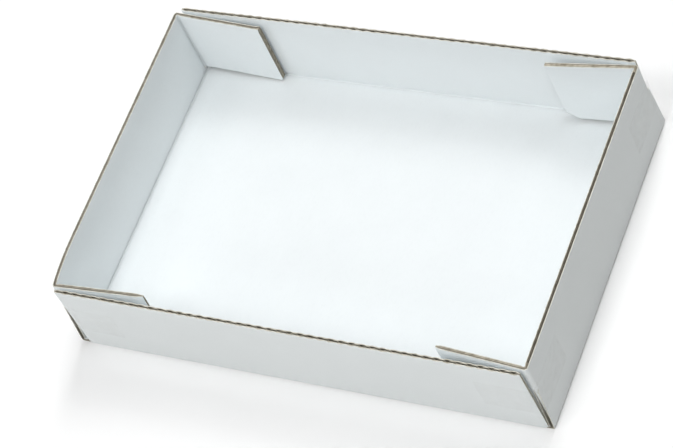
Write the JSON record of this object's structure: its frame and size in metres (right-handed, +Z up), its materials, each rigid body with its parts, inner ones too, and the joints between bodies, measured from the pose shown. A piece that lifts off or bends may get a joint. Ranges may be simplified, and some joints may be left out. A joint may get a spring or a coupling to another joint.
{
  "type": "cardboard tray box",
  "caption": "Open-topped white-lined corrugated board tray: one folded sheet with low walls and inward corner tabs, held at its outside corners by clear tape",
  "frame": {"origin": "centre of the underside of the base, on the surface it rests on", "axes": "+X along the length toward the right end wall, +Y across the width toward the back side wall, +Z up"},
  "size_m": [0.3051, 0.2032, 0.06],
  "materials": {
    "board": "matte white paper liners on corrugated board, grey-brown at the cut edges",
    "tape": "clear glossy film"
  },
  "bodies": {
    "root": {"tray": "board", "tape_back_left": "tape", "tape_back_right": "tape", "tape_front_left": "tape", "tape_front_right": "tape"}
  },
  "joints": []
}
